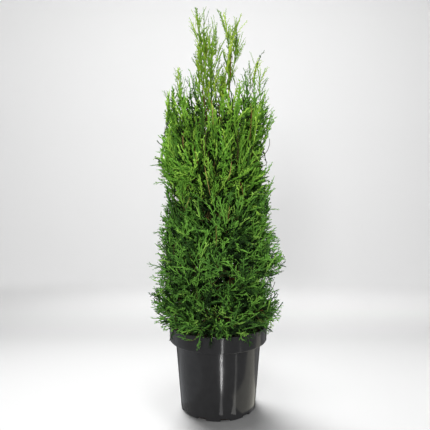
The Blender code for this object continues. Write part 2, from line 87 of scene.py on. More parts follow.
# The limbs, as in the solids.
GROUND = COMPOST_TOP + CLEAR
FLARE_HEIGHT = 0.022
TRUNK_ROUTE = (
    (0.000, 0.000, GROUND), (-0.001, 0.001, 0.240), (-0.004, 0.002, 0.320),
    (-0.008, 0.001, 0.420), (-0.014, -0.002, 0.530), (-0.024, -0.001, 0.650),
    (-0.038, 0.001, 0.745))
TRUNK_RADIUS = 0.0068
TRUNK_TIP_RADIUS = 0.0019
TRUNK_FLARE = 0.0040
LEADER_FORK = 0.300
LEADER_ROUTE = (
    (0.014, -0.004, 0.350), (0.022, -0.005, 0.440), (0.027, -0.003, 0.550),
    (0.026, 0.000, 0.650), (0.025, 0.001, 0.745))
LEADER_RADIUS = 0.0040
LEADER_TIP_RADIUS = 0.0018
BOUGH_RADIUS = 0.0024
BOUGH_TIP_RADIUS = 0.0015
BOUGH_STAGGER = 0.014
BOUGH_ELBOW_OUT = 0.012
BOUGH_ELBOW_UP = 0.010
BOUGH_TIERS = {"upper": 0.462, "shoulder": 0.585}

# Finer shape and colour of the bark: sides of a tube and height of its relief.
CARRIER_BARK = (28, 0.16)
BOUGH_BARK = (14, 0.14)
BARK_COLOUR = (0.20, 0.12, 0.07)
BARK_GRAIN = (
    (0.28, (0.050, 0.024, 0.013)), (0.50, (0.190, 0.098, 0.048)), (0.72, (0.400, 0.255, 0.135)))

# The crown's outline and the shelves between its tiers, as in the solids.
HOLLOW_RADIUS = 0.046
RIM_GAP = 0.0025
RIM_DRAPE = 0.018
REACH_LEFT = (
    (0.190, 0.158), (0.260, 0.168), (0.300, 0.148), (0.335, 0.163), (0.380, 0.150),
    (0.425, 0.150), (0.485, 0.128), (0.545, 0.148), (0.600, 0.153), (0.655, 0.137),
    (0.750, 0.124), (0.800, 0.100), (0.850, 0.070))
REACH_RIGHT = (
    (0.190, 0.134), (0.235, 0.158), (0.295, 0.128), (0.340, 0.163), (0.400, 0.143),
    (0.455, 0.124), (0.520, 0.138), (0.605, 0.110), (0.670, 0.130), (0.750, 0.115),
    (0.800, 0.102), (0.850, 0.086))
SHELVES = ((0.225, 0.45), (0.335, 0.60), (0.440, 0.75), (0.550, 0.90), (0.700, 1.20))

# Where the crown of sprays ends at the top, below the open shoots.
CROWN_TOP = 0.752
# Tier name, masses round it, first one's bearing, climb of its sprays in degrees, and rows
# and columns of shoots on a mass.
TIERS = (
    ("skirt", 6, 30, 24, 5, 7), ("low", 5, 6, 42, 7, 8), ("middle", 5, 54, 50, 7, 7),
    ("upper", 6, 12, 58, 7, 6), ("shoulder", 4, 0, 70, 7, 6))
# How much steeper a mass's topmost sprays climb than its lowest, in degrees, and how widely
# sprays swing to either side, in radians.
CLIMB_GAIN = 30
CLIMB_SCATTER = 12
SWING = 0.52
# From this climb on, a tier's sprays are upright and longer.
UPRIGHT_CLIMB = 45
UPRIGHT_STRETCH = 1.25
SHOOT_LENGTHS = (0.050, 0.072)
# Distance from the axis at which a mass's rows of shoots are spaced, how far the masses
# overlap at their sides, and how widely tips stand behind the face.
FACE_RADIUS = 0.115
OVERLAP = 1.02
TIP_SCATTER = 0.014
# Angle between a twig and the sprays at its sides, and how much these turn up.
FORK_ANGLE = 0.62
UPTURN = 0.25
# A spray that finds no room is shortened by this share, so many times.
SHORTEN = 0.84
SPRAY_TRIES = 4

# Tip and foot of each shoot of the open top: x, z, x, z.
TOP_SHOOTS = (
    (-0.055, 0.940, -0.044, 0.850), (-0.062, 0.920, -0.050, 0.862),
    (-0.066, 0.905, -0.052, 0.870), (-0.043, 0.932, -0.046, 0.870),
    (-0.029, 0.921, -0.036, 0.865), (-0.023, 0.912, -0.033, 0.880),
    (-0.026, 0.893, -0.022, 0.840), (-0.030, 0.875, -0.033, 0.800),
    (-0.009, 0.917, -0.012, 0.845), (-0.016, 0.855, -0.020, 0.780),
    (-0.004, 0.880, -0.010, 0.822), (0.005, 0.872, -0.006, 0.815),
    (0.006, 0.826, -0.008, 0.785), (0.013, 0.818, -0.007, 0.775),
    (-0.048, 0.860, -0.046, 0.780), (-0.040, 0.845, -0.042, 0.760),
    (-0.026, 0.840, -0.030, 0.750), (-0.052, 0.835, -0.046, 0.740),
    (0.012, 0.935, 0.020, 0.860), (0.001, 0.919, 0.014, 0.870),
    (0.022, 0.905, 0.022, 0.850), (0.050, 0.927, 0.034, 0.865),
    (0.049, 0.912, 0.037, 0.850), (0.034, 0.908, 0.030, 0.850),
    (0.052, 0.880, 0.043, 0.820), (0.059, 0.854, 0.042, 0.810),
    (0.029, 0.892, 0.026, 0.820), (0.039, 0.804, 0.024, 0.765),
    (0.030, 0.860, 0.024, 0.775), (0.036, 0.845, 0.028, 0.760),
    (0.009, 0.801, 0.016, 0.745), (-0.001, 0.789, 0.001, 0.735),
    (0.006, 0.792, 0.010, 0.735), (0.045, 0.771, 0.044, 0.700),
    (0.054, 0.768, 0.064, 0.715), (0.064, 0.790, 0.066, 0.720),
    (0.073, 0.807, 0.073, 0.740), (0.088, 0.837, 0.080, 0.750),
    (0.098, 0.803, 0.094, 0.730), (0.112, 0.791, 0.092, 0.750),
    (0.106, 0.771, 0.096, 0.715), (0.112, 0.745, 0.098, 0.700),
    (0.118, 0.729, 0.100, 0.690), (0.124, 0.701, 0.106, 0.670),
    (0.131, 0.690, 0.112, 0.650), (0.084, 0.776, 0.082, 0.700),
    (-0.097, 0.801, -0.091, 0.715), (-0.088, 0.791, -0.088, 0.735),
    (-0.058, 0.794, -0.056, 0.715), (-0.071, 0.771, -0.064, 0.720),
    (-0.048, 0.776, -0.050, 0.720), (-0.073, 0.743, -0.070, 0.690),
    (-0.083, 0.750, -0.084, 0.700), (-0.122, 0.740, -0.110, 0.695),
    (-0.112, 0.740, -0.108, 0.690), (-0.124, 0.724, -0.112, 0.680),
    (-0.125, 0.690, -0.108, 0.650))

# Outermost tips at the two sides: tier, x, z and climb in degrees.
EDGE_TIPS = (
    ("shoulder", -0.137, 0.643, 50), ("upper", -0.149, 0.624, 35), ("upper", -0.153, 0.595, 25),
    ("upper", -0.153, 0.579, 15), ("upper", -0.149, 0.536, 20), ("middle", -0.128, 0.508, 30),
    ("middle", -0.135, 0.475, 35), ("middle", -0.135, 0.441, 20), ("middle", -0.151, 0.420, 25),
    ("low", -0.153, 0.370, 15), ("low", -0.162, 0.337, 20), ("low", -0.160, 0.306, 5),
    ("low", -0.163, 0.283, 10), ("skirt", -0.165, 0.257, 5), ("skirt", -0.149, 0.228, 0),
    ("skirt", -0.162, 0.199, -5), ("shoulder", 0.130, 0.692, 60), ("shoulder", 0.130, 0.673, 62),
    ("upper", 0.128, 0.572, 55), ("upper", 0.137, 0.531, 45), ("middle", 0.137, 0.477, 28),
    ("middle", 0.123, 0.451, 30), ("middle", 0.137, 0.422, 42), ("middle", 0.137, 0.399, 30),
    ("low", 0.146, 0.382, 35), ("low", 0.156, 0.351, 18), ("low", 0.156, 0.337, 10),
    ("low", 0.151, 0.313, 8), ("skirt", 0.139, 0.280, 45), ("skirt", 0.156, 0.238, 38),
    ("skirt", 0.153, 0.228, 8), ("skirt", 0.132, 0.199, 30))

# Tips of the sprays that hang over the pot's rim in front: x and z.
DRAPES = (
    (-0.013, 0.192), (0.004, 0.198), (0.019, 0.193), (0.046, 0.186), (0.069, 0.172),
    (0.062, 0.180), (-0.040, 0.196), (-0.070, 0.197))
DRAPE_RADIUS = 0.123

# Bare stems that show in front: foot and top of each, x, z, x, z.
FACE_STEMS = (
    (-0.022, 0.501, -0.029, 0.561), (-0.007, 0.392, -0.007, 0.433), (-0.078, 0.600, -0.079, 0.628),
    (0.067, 0.620, 0.069, 0.700), (-0.014, 0.650, -0.016, 0.704), (-0.048, 0.571, -0.051, 0.592),
    (0.021, 0.537, 0.024, 0.566), (0.019, 0.448, 0.021, 0.480), (-0.070, 0.476, -0.066, 0.492),
    (0.050, 0.500, 0.047, 0.522))

# How far the photographed crown stands off the pot's axis, beyond the lean of the trunk.
CROWN_SHIFT = np.array((0.002, 0.0, 0.0))

SEED = 71
STEM_SHARES = (0.30, 0.65, 1.00)
INNER_EACH = {"shoulder": 0, "skirt": 20}
INNER_EACH_DEFAULT = 26
INNER_SLACK = {"upper": -0.036, "shoulder": -0.055}
INNER_SLACK_DEFAULT = -0.028
INNER_LENGTHS = (0.045, 0.070)
# Depth behind the crown's outline past which a side spray takes the darker greens of painted shade;
# deeper at the crown's sides.
FACE_DEPTH = 0.006
EDGE_DEPTH = 0.018
BULK_INSET = 0.006
EDGE_REACH = 1.02
EDGE_LENGTHS = (0.045, 0.060)
# Length of a twig's side sprays, as a share of the one at its end.
SIDE_SHARES = (0.62, 1.0)
CORE_SPRAYS = 190
CORE_SLACK = -0.026
CORE_FOOT = 0.215
CORE_TOP = 0.745
# Height below which the core sprays take the darkest greens of painted shade.
CORE_SHADED = 0.640
FACING_SHARE = 0.5
# Centre, top, half width and number of sprays of the two leaders above the crown, and of the
# lower shoots between them.
LEADER_BUNDLES = (
    (-0.030, 0.850, 0.0085, 34), (0.030, 0.845, 0.0060, 20), (0.003, 0.755, 0.0110, 22))
BUNDLE_FOOT = 0.680
# Steps between the side sprays of a shoot of the open top.
TOP_STEP = 0.027
# How widely the open top's shoots stand before or behind the axis, and above which height
# they belong to the spires.
TOP_SCATTER = 0.014
SPIRE_FOOT = 0.80
TWIG_COLOUR = (0.070, 0.065, 0.020)
STEM_COLOUR = (0.220, 0.100, 0.036)
BARE_STEM_COLOUR = (0.460, 0.300, 0.110)
# The backdrop's paper carries painted light and shade: grey on the floor round the plant, pale at
# the foot of the wall and white at its top: distance along the paper from the plant, and shade.
BACKDROP_PAINTED_SHADES = ((0.45, 0.25), (1.40, 0.77), (3.60, 1.00))
BACKDROP_SPAN = 4.0
BACKDROP_REACH = 4.0
BACKDROP_SIDE = 5.0
BACKDROP_BEND_START = 1.2
BACKDROP_BEND_RADIUS = 0.8

# The camera: place, the photograph's side and focal length in pixels, and how far its
# horizon lies above its middle, in pixels.
CAMERA_PLACE = (-0.0075, -1.2, 0.549)
CAMERA_SENSOR = 36.0
PHOTO_SIDE = 430.0
PHOTO_FOCAL = 506.6
PHOTO_HORIZON_RISE = 42.5

# Name, place, target, width, height and power of each light. The last one is the back light.
LIGHTS = (
    ("key", (-0.45, -2.2, 1.10), (0.0, 0.0, 0.55), 0.35, 0.35, 30.0),
    ("side_right", (1.6, -0.3, 1.1), (0.0, 0.0, 0.45), 0.5, 1.0, 8.0),
    ("top", (-0.10, -0.20, 2.4), (0.0, 0.0, 0.2), 0.5, 0.3, 36.0),
    ("back", (-0.45, 1.70, 1.95), (0.22, -0.15, 0.0), 2.6, 0.9, 48.5))
BACK_SPREAD = math.radians(50)
WORLD_STRENGTH = 0.40
STRIP_HEIGHT = 0.012
# Name, bearing from the front, near and far end, width, power and colour of each line of gloss.
STRIPS = (
    ("gloss_front", 9.0, 0.126, 0.160, 0.006, 0.160, (1.00, 1.00, 1.00)),
    ("gloss_front_mid", 9.0, 0.092, 0.182, 0.008, 0.070, (1.00, 1.00, 1.00)),
    ("gloss_front_long", 9.0, 0.075, 0.48, 0.010, 0.140, (1.00, 1.00, 1.00)),
    ("gloss_front_foot", 9.0, -0.006, 0.50, 0.010, 0.042, (1.00, 1.00, 1.00)),
    ("gloss_front_collar", 9.0, 0.28, 0.62, 0.011, 0.330, (1.00, 1.00, 1.00)),
    ("gloss_right", 52.0, -0.01, 0.45, 0.012, 0.045, (1.00, 1.00, 0.95)),
    ("gloss_edge", 108.0, -0.03, 0.55, 0.150, 0.25, (1.00, 0.97, 0.80)),
    ("gloss_left", -105.0, 0.02, 0.60, 0.300, 0.15, (0.85, 0.92, 1.00)))
# The shade green, and much of the deep green, are painted shade: they go mostly to sprays behind the
# crown's face and deep inside it.
TONE_NAMES = ("shade", "deep", "leaf", "fresh", "pale")
GREENS = {
    "shade": (0.009, 0.024, 0.005), "deep": (0.034, 0.090, 0.015),
    "leaf": (0.096, 0.240, 0.034), "fresh": (0.170, 0.390, 0.050),
    "pale": (0.310, 0.560, 0.085)}
# Tier, then how its outermost sprays share out over the tones.
TIP_TONES = {
    "skirt": (0.00, 0.30, 0.34, 0.31, 0.05), "low": (0.00, 0.30, 0.34, 0.31, 0.05),
    "middle": (0.00, 0.26, 0.32, 0.34, 0.08), "upper": (0.00, 0.07, 0.17, 0.41, 0.35),
    "shoulder": (0.00, 0.12, 0.28, 0.42, 0.18), "spire": (0.00, 0.02, 0.24, 0.52, 0.22)}
# The same for the sprays right behind them, and for those deep inside the crown, whose
# large shares of dark greens are painted shade.
BEHIND_TONES = {
    "skirt": (0.52, 0.14, 0.08, 0.21, 0.05), "low": (0.52, 0.14, 0.08, 0.21, 0.05),
    "middle": (0.50, 0.14, 0.08, 0.22, 0.06), "upper": (0.38, 0.11, 0.08, 0.25, 0.18),
    "shoulder": (0.36, 0.16, 0.14, 0.24, 0.10), "spire": (0.36, 0.16, 0.14, 0.24, 0.10)}
INNER_TONES = (0.56, 0.32, 0.12, 0.0, 0.0)
# How far the red and the blue of a tier's greens are raised or lowered.
TINTS = {
    "skirt": (0.98, 1.15), "low": (0.98, 1.15), "middle": (0.98, 1.10), "upper": (0.98, 0.85),
    "shoulder": (1.06, 0.80), "spire": (1.28, 0.72)}


def adopt(name, mesh, nodes, surface):
    """Link a mesh as a piece of the part that stands for these nodes."""
    piece = bpy.data.objects.new(name, mesh)
    bpy.context.scene.collection.objects.link(piece)
    mesh.materials.clear()
    mesh.materials.append(surface)
    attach(piece, "root")
    if nodes:
        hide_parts(*nodes)
    return piece


def array_mesh(name, points, corners, sides):
    """A mesh from arrays of points and of faces that all have the same number of sides."""
    mesh = bpy.data.meshes.new(name)
    count = len(corners)
    mesh.vertices.add(len(points))
    mesh.vertices.foreach_set("co", np.asarray(points, np.float32).ravel())
    mesh.loops.add(count * sides)
    mesh.loops.foreach_set("vertex_index", np.asarray(corners, np.int32).ravel())
    mesh.polygons.add(count)
    mesh.polygons.foreach_set("loop_start", np.arange(0, count * sides, sides, dtype=np.int32))
    mesh.update(calc_edges=True)
    mesh.validate()
    return mesh


def add_node(made, kind, values=None):
    """A new node of a material, with these values in its sockets."""
    node = made.node_tree.nodes.new("ShaderNode" + kind)
    for socket, value in (values or {}).items():
        node.inputs[socket].default_value = value
    return node


def connect(made, *pairs):
    """Link each output to its input."""
    for source, target in pairs:
        made.node_tree.links.new(source, target)


def shader_inputs(made):
    return made.node_tree.nodes["Principled BSDF"].inputs


def plain(name, colour, roughness, specular=0.5):
    """A material of one colour."""
    made = bpy.data.materials.new(name)
    made.use_nodes = True
    inputs = shader_inputs(made)
    inputs["Base Color"].default_value = (*colour, 1.0)
    inputs["Roughness"].default_value = roughness
    inputs["Specular IOR Level"].default_value = specular
    return made


def colour_ramp(made, stops):
    """A ramp between stops, each a place and a colour."""
    ramp = add_node(made, "ValToRGB")
    elements = ramp.color_ramp.elements
    while len(elements) < len(stops):
        elements.new(0.5)
    for element, (place, colour) in zip(elements, stops):
        element.position = place
        element.color = (*colour, 1.0)
    return ramp


def noise_colour(made, scale, stretch, stops):
    """Drive the base colour by noise in the object's own space, and return the noise node."""
    coordinates = add_node(made, "TexCoord")
    mapping = add_node(made, "Mapping", {"Scale": stretch})
    grain = add_node(made, "TexNoise", {"Scale": scale, "Detail": 6.0})
    ramp = colour_ramp(made, stops)
    connect(
        made, (coordinates.outputs["Object"], mapping.inputs["Vector"]),
        (mapping.outputs["Vector"], grain.inputs["Vector"]),
        (grain.outputs["Fac"], ramp.inputs["Fac"]),
        (ramp.outputs["Color"], shader_inputs(made)["Base Color"]))
    return grain


def bump(made, grain, strength, distance):
    """Raise the surface where the noise is high."""
    node = add_node(made, "Bump", {"Strength": strength, "Distance": distance})
    connect(made, (grain.outputs["Fac"], node.inputs["Height"]),
            (node.outputs["Normal"], shader_inputs(made)["Normal"]))


def roughness_noise(made, scale, low, high):
    """Vary the roughness by noise between two values."""
    coordinates = add_node(made, "TexCoord")
    grain = add_node(made, "TexNoise", {"Scale": scale})
    span = add_node(made, "MapRange", {"To Min": low, "To Max": high})
    connect(
        made, (coordinates.outputs["Object"], grain.inputs["Vector"]),
        (grain.outputs["Fac"], span.inputs["Value"]),
        (span.outputs["Result"], shader_inputs(made)["Roughness"]))


def dull_at_edge(made, first, last, rough):
    """The gloss fades where the surface turns nearly edge on to the eye."""
    socket = shader_inputs(made)["Roughness"]
    smooth = socket.links[0].from_socket
    turned_away = add_node(made, "LayerWeight", {"Blend": 0.5})
    span = add_node(made, "MapRange", {"From Min": first, "From Max": last, "To Max": rough})
    rougher = add_node(made, "Math")
    rougher.operation = "MAXIMUM"
    connect(
        made, (turned_away.outputs["Facing"], span.inputs["Value"]),
        (span.outputs["Result"], rougher.inputs[0]), (smooth, rougher.inputs[1]),
        (rougher.outputs["Value"], socket))


# Pot and compost


def body_radius(height):
    share = height / LEDGE
    return BODY_FOOT_RADIUS + (BODY_TOP_RADIUS - BODY_FOOT_RADIUS) * share


def arc(centre, radius, start, end, count):
    angles = np.radians(np.linspace(start, end, count + 1))
    return [(centre[0] + radius * math.cos(a), centre[1] + radius * math.sin(a)) for a in angles]


def turned(name, profile, sides):
    """A mesh turned about the Z axis from a profile whose two ends lie on the axis."""
    bearings = np.arange(sides) * math.tau / sides
    ring = np.stack([np.cos(bearings), np.sin(bearings)], 1)
    mesh = bpy.data.meshes.new(name)
    points = [(0.0, 0.0, profile[0][1])]
    faces = []
    for radius, height in profile[1:-1]:
        points += [(x * radius, y * radius, height) for x, y in ring]
    points.append((0.0, 0.0, profile[-1][1]))
    last = len(points) - 1
    for side in range(sides):
        following = (side + 1) % sides
        faces.append((0, 1 + following, 1 + side))
        for level in range(len(profile) - 3):
            low = 1 + level * sides
            high = low + sides
            faces.append((low + side, low + following, high + following, high + side))
        faces.append((last - sides + side, last - sides + following, last))
    mesh.from_pydata(points, [], faces)
    mesh.flip_normals()
    mesh.shade_smooth()
    return mesh


def pot_profile():
    """Half section of the pot: floor inside, up the wall and over the rim, down outside."""
    bore = BODY_TOP_RADIUS - POT_WALL
    collar_foot = RIM_RADIUS - COLLAR_DRAFT
    corner = BODY_TOP_RADIUS + LEDGE_ROUND
    foot = body_radius(FOOT_ROUND) - FOOT_ROUND
    return [
        (0.0, POT_FLOOR),
        (body_radius(POT_FLOOR) - POT_WALL - 0.0008, POT_FLOOR),
        (bore, LEDGE - 0.001),
        (bore + 0.0006, LEDGE + POT_WALL * 0.6),
        (collar_foot - POT_WALL - LEDGE_ROUND, LEDGE + POT_WALL),
        (collar_foot - POT_WALL, LEDGE + POT_WALL + LEDGE_ROUND),
        (RIM_RADIUS - POT_WALL, POT_HEIGHT - 0.0030),
        *arc((RIM_RADIUS - RIM_BEAD - 0.0002, POT_HEIGHT - RIM_BEAD), RIM_BEAD, 170, -20, 6),
        (RIM_RADIUS - 0.0003, POT_HEIGHT - 0.0034),
        (RIM_RADIUS - COLLAR_DRAFT * 0.9, LEDGE + 0.0040),
        *arc((collar_foot - COLLAR_ROUND, LEDGE + COLLAR_ROUND), COLLAR_ROUND, 0, -90, 5),
        (corner, LEDGE),
        *arc((corner, LEDGE - LEDGE_ROUND), LEDGE_ROUND, 90, 180, 3)[1:],
        (body_radius(LEDGE * 0.6), LEDGE * 0.6),
        *arc((foot, FOOT_ROUND), FOOT_ROUND, 0, -90, 5),
        (0.0, 0.0)]


def cut_drains(pot):
    """Cut the drain slots out of the pot's foot."""
    cutters = []
    for index in range(DRAIN_COUNT):
        bpy.ops.mesh.primitive_cube_add(size=1.0)
        cutter = bpy.context.object
        bearing = DRAIN_FIRST + index * math.tau / DRAIN_COUNT
        cutter.scale = DRAIN_SIZE
        cutter.rotation_euler = (0.0, 0.0, bearing)
        cutter.location = polar(BODY_FOOT_RADIUS, bearing, 0.0)
        cutters.append(cutter)
        cut = pot.modifiers.new("drain", "BOOLEAN")
        cut.operation = "DIFFERENCE"
        cut.object = cutter
    graph = bpy.context.evaluated_depsgraph_get()
    finished = bpy.data.meshes.new_from_object(pot.evaluated_get(graph))
    pot.modifiers.clear()
    pot.data = finished
    finished.set_sharp_from_angle(angle=math.radians(40))
    for cutter in cutters:
        bpy.data.objects.remove(cutter, do_unlink=True)


def make_pot():
    surface = plain("pot_plastic", POT_COLOUR, 0.15, 0.25)
    grain = noise_colour(surface, 60.0, (1, 1, 1), POT_GRAIN)
    bump(surface, grain, 0.03, 0.0004)
    roughness_noise(surface, 25.0, 0.11, 0.18)
    dull_at_edge(surface, 0.70, 0.84, 0.6)
    mesh = turned("pot_shell", pot_profile(), POT_SIDES)
    cut_drains(adopt("pot_shell", mesh, ["pot"], surface))


def compost_height(radius):
    """Level of the dished compost at a distance from the axis."""
    return COMPOST_TOP - COMPOST_DISH * (radius / COMPOST_EDGE) ** 2


def make_compost():
    """The fill: a lumpy top on a plain plug."""
    profile = [(0.0, COMPOST_TOP)]
    for step in range(1, COMPOST_RINGS + 1):
        radius = COMPOST_EDGE * step / COMPOST_RINGS
        profile.append((radius, compost_height(radius)))
    profile += [
        (COMPOST_EDGE, LEDGE + COMPOST_WALL + CLEAR),
        (BODY_TOP_RADIUS - COMPOST_WALL - CLEAR, LEDGE),
        (body_radius(POT_FLOOR) - COMPOST_WALL - 0.0015, POT_FLOOR + CLEAR),
        (0.0, POT_FLOOR + CLEAR)]
    mesh = turned("compost_fill", profile, COMPOST_SIDES)
    for vert in mesh.vertices:
        radius = math.hypot(vert.co.x, vert.co.y)
        if vert.co.z > COMPOST_TOP - COMPOST_DISH - 0.0001 and radius < COMPOST_EDGE - 0.001:
            vert.co.z -= COMPOST_LUMP * (0.6 + noise.noise(vert.co * 190.0))
    mesh.flip_normals()
    surface = plain("compost_peat", PEAT_COLOUR, 0.95, 0.2)
    grain = noise_colour(surface, 420.0, (1, 1, 1), PEAT_GRAIN)
    bump(surface, grain, 0.8, 0.0012)
    adopt("compost_fill", mesh, ["compost"], surface)


def make_crumbs():
    """Crumbs of bark and peat, scattered on the compost."""
    dice = np.random.default_rng(SEED)
    crumb = np.array(((1, 0, 0), (-1, 0, 0), (0, 1, 0), (0, -1, 0), (0, 0, 1), (0, 0, -1)), float)
    faces = np.array(((0, 2, 4), (2, 1, 4), (1, 3, 4), (3, 0, 4),
                      (2, 0, 5), (1, 2, 5), (3, 1, 5), (0, 3, 5)))
    points = []
    for number in range(COMPOST_CRUMBS):
        radius = (COMPOST_EDGE - 0.004) * math.sqrt(dice.uniform(0.01, 1.0))
        bearing = dice.uniform(0, math.tau)
        size = dice.uniform(*CRUMB_SIZES)
        shape = crumb * (size * dice.uniform(0.8, 1.8), size * dice.uniform(0.4, 0.9), size * 0.4)
        turn = dice.uniform(0, math.tau)
        spin = np.array(((math.cos(turn), -math.sin(turn), 0), (math.sin(turn), math.cos(turn), 0),
                         (0, 0, 1)))
        centre = (radius * math.cos(bearing), radius * math.sin(bearing),
                  compost_height(radius) - CRUMB_SINK)
        points.append(shape @ spin.T + centre)
    corners = (faces[None] + 6 * np.arange(COMPOST_CRUMBS)[:, None, None]).reshape(-1, 3)
    crumbs = array_mesh("compost_crumbs", np.concatenate(points), corners, 3)
    adopt("compost_crumbs", crumbs, [], plain("compost_bark", CRUMB_COLOUR, 0.9, 0.2))


# Limbs


def smooth_route(points, steps):
    """Points of a smooth curve through the given ones, steps to each stretch."""
    route = [Vector(point) for point in points]
    padded = [route[0] * 2 - route[1]] + route + [route[-1] * 2 - route[-2]]
    result = [route[0]]
    for index in range(1, len(padded) - 2):
        a, b, c, d = padded[index - 1:index + 3]
        for step in range(1, steps + 1):
            t = step / steps
            bend = (a * -1 + b * 3 - c * 3 + d) * t ** 3
            slow = (a * 2 - b * 5 + c * 4 - d) * t ** 2
            result.append((bend + slow + (c - a) * t + b * 2) * 0.5)
    return result


class Limb:
    """A tapering limb: its route and its radius at each point."""

    def __init__(self, points, steps, start_radius, tip_radius, flare=0.0):
        self.points = smooth_route(points, steps)
        lengths = [0.0]
        for first, second in zip(self.points, self.points[1:]):
            lengths.append(lengths[-1] + (second - first).length)
        self.radii = []
        for length in lengths:
            radius = start_radius + (tip_radius - start_radius) * length / lengths[-1]
            self.radii.append(radius + flare * math.exp(-length / (FLARE_HEIGHT / 2)))

    def at_height(self, height):
        for index in range(len(self.points) - 1):
            low, high = self.points[index], self.points[index + 1]
            if low.z <= height <= high.z:
                share = (height - low.z) / (high.z - low.z)
                radius = self.radii[index] * (1 - share) + self.radii[index + 1] * share
                return low.lerp(high, share), radius
        return self.points[-1], self.radii[-1]


class Tubes:
    """Gathers tapering tubes into one mesh of quads, closed by a flat face at each end."""

    def __init__(self):
        self.points = []
        self.faces = []

    def add(self, route, radii, sides, relief=0.0):
        start = len(self.points)
        side = Vector((0.3, 0.9, 0.2)).normalized()
        for index, point in enumerate(route):
            before = route[max(index - 1, 0)]
            after = route[min(index + 1, len(route) - 1)]
            along = (after - before).normalized()
            across = along.cross(side).normalized()
            upward = across.cross(along)
            for corner in range(sides):
                angle = math.tau * corner / sides
                radius = radii[index]
                if relief:
                    radius *= 1.0 + relief * strip_relief(angle, point.z)
                self.points.append(
                    point + (across * math.cos(angle) + upward * math.sin(angle)) * radius)
        for level in range(len(route) - 1):
            low = start + level * sides
            for corner in range(sides):
                following = (corner + 1) % sides
                self.faces.append((
                    low + corner, low + corner + sides, low + following + sides, low + following))
        self.faces.append(tuple(start + corner for corner in range(sides)))
        last = start + (len(route) - 1) * sides
        self.faces.append(tuple(last + corner for corner in reversed(range(sides))))

    def mesh(self, name):
        mesh = bpy.data.meshes.new(name)
        mesh.from_pydata(self.points, [], self.faces)
        mesh.shade_smooth()
        return mesh


def strip_relief(angle, height):
    """Height of the bark's long peeling strips at a place on the stem."""
    ring = Vector((math.cos(angle) * 1.6, math.sin(angle) * 1.6, height * 22.0))
    fine = Vector((math.cos(angle) * 4.0, math.sin(angle) * 4.0, height * 60.0))
    return noise.noise(ring) + 0.5 * abs(noise.noise(fine))


def interpolate(table, value):
    if value <= table[0][0]:
        return table[0][1]
    for (low, first), (high, second) in zip(table, table[1:]):
        if value <= high:
            return first + (second - first) * (value - low) / (high - low)
    return table[-1][1]


def crown_reach(height, bearing):
    right = (1.0 + math.cos(bearing)) / 2
    left_reach = interpolate(REACH_LEFT, height)
    return left_reach + (interpolate(REACH_RIGHT, height) - left_reach) * right


def polar(radius, bearing, height):
    return Vector((radius * math.cos(bearing), radius * math.sin(bearing), height))


def heading(rise, bearing):
    """The unit way that points along the bearing and climbs by the rise."""
    return polar(math.cos(rise), bearing, math.sin(rise))


def shelf_height(shelf, radius):
    height, rise = SHELVES[shelf]
    return height + rise * radius


def tier_height(tier, radius, share=0.5):
    """Height at this distance from the axis, at a share of the way up through a tier."""
    low = POT_HEIGHT + RIM_GAP
    if tier > 0:
        low = shelf_height(tier - 1, radius)
    high = min(shelf_height(tier, radius), CROWN_TOP)
    return low + (high - low) * share


def masses():
    """Numbers of the tier and of the mass in it, for each mass."""
    for tier, (tier_name, count, *rest) in enumerate(TIERS):
        for index in range(count):
            yield tier, index


def mass_bearing(tier, index):
    tier_name, count, first, *rest = TIERS[tier]
    return math.radians(first + 360 * index / count)


def root_at(limb, height, target):
    axis, limb_radius = limb.at_height(height)
    way = Vector((target.x - axis.x, target.y - axis.y, 0.0)).normalized()
    return axis + way * limb_radius, way


def nearest_carrier(carriers, target, height):
    trunk, leader = carriers
    if height < leader.points[1].z:
        return trunk
    distances = []
    for limb in carriers:
        axis, radius = limb.at_height(height)
        distances.append(math.hypot(axis.x - target.x, axis.y - target.y))
    return leader if distances[1] < distances[0] else trunk


def make_bough(tier, index, carriers):
    """A bough: out from the trunk or the leader, then up to where its mass starts."""
    tip = polar(HOLLOW_RADIUS, mass_bearing(tier, index), tier_height(tier, HOLLOW_RADIUS))
    height = BOUGH_TIERS[TIERS[tier][0]] + BOUGH_STAGGER * (index % 2)
    start, way = root_at(nearest_carrier(carriers, tip, height), height, tip)
    elbow = start + way * BOUGH_ELBOW_OUT + Vector((0, 0, BOUGH_ELBOW_UP))
    route = (start - way * 0.001, elbow, elbow.lerp(tip, 0.5), tip)
    return Limb(route, 10, BOUGH_RADIUS, BOUGH_TIP_RADIUS)


def make_limbs():
    """Bark meshes of the trunk, leader and boughs; returns the carriers and the boughs."""
    trunk = Limb(TRUNK_ROUTE, 24, TRUNK_RADIUS, TRUNK_TIP_RADIUS, TRUNK_FLARE)
    fork, way = root_at(trunk, LEADER_FORK, Vector(LEADER_ROUTE[0]))
    leader = Limb((fork - way * 0.003, *LEADER_ROUTE), 24, LEADER_RADIUS, LEADER_TIP_RADIUS)
    carriers = (trunk, leader)
    boughs = {}
    for tier, index in masses():
        if TIERS[tier][0] in BOUGH_TIERS:
            boughs[TIERS[tier][0], index] = make_bough(tier, index, carriers)
    bark = Tubes()
    for limb in carriers:
        bark.add(limb.points, limb.radii, *CARRIER_BARK)
    for limb in boughs.values():
        bark.add(limb.points, limb.radii, *BOUGH_BARK)
    surface = plain("bark_strips", BARK_COLOUR, 0.8, 0.3)
    grain = noise_colour(surface, 190.0, (1, 1, 0.16), BARK_GRAIN)
    bump(surface, grain, 0.7, 0.0006)
    nodes = ["trunk", "leader"]
    nodes += [f"bough_{tier_name}_{index + 1}" for tier_name, index in boughs]
    adopt("bark_limbs", bark.mesh("bark_limbs"), nodes, surface)
    return carriers, boughs


# Sprays: flat fans of thin threads, made once as templates and laid out in numbers


class Style(NamedTuple):
    """How a family of sprays branches: shares are of a spray's length, angles in degrees."""

    spread: float
    angle: float
    spacing: float
    sub_angle: float
    sub_share: float
    sub_chance: float
    sway: float
    width: float


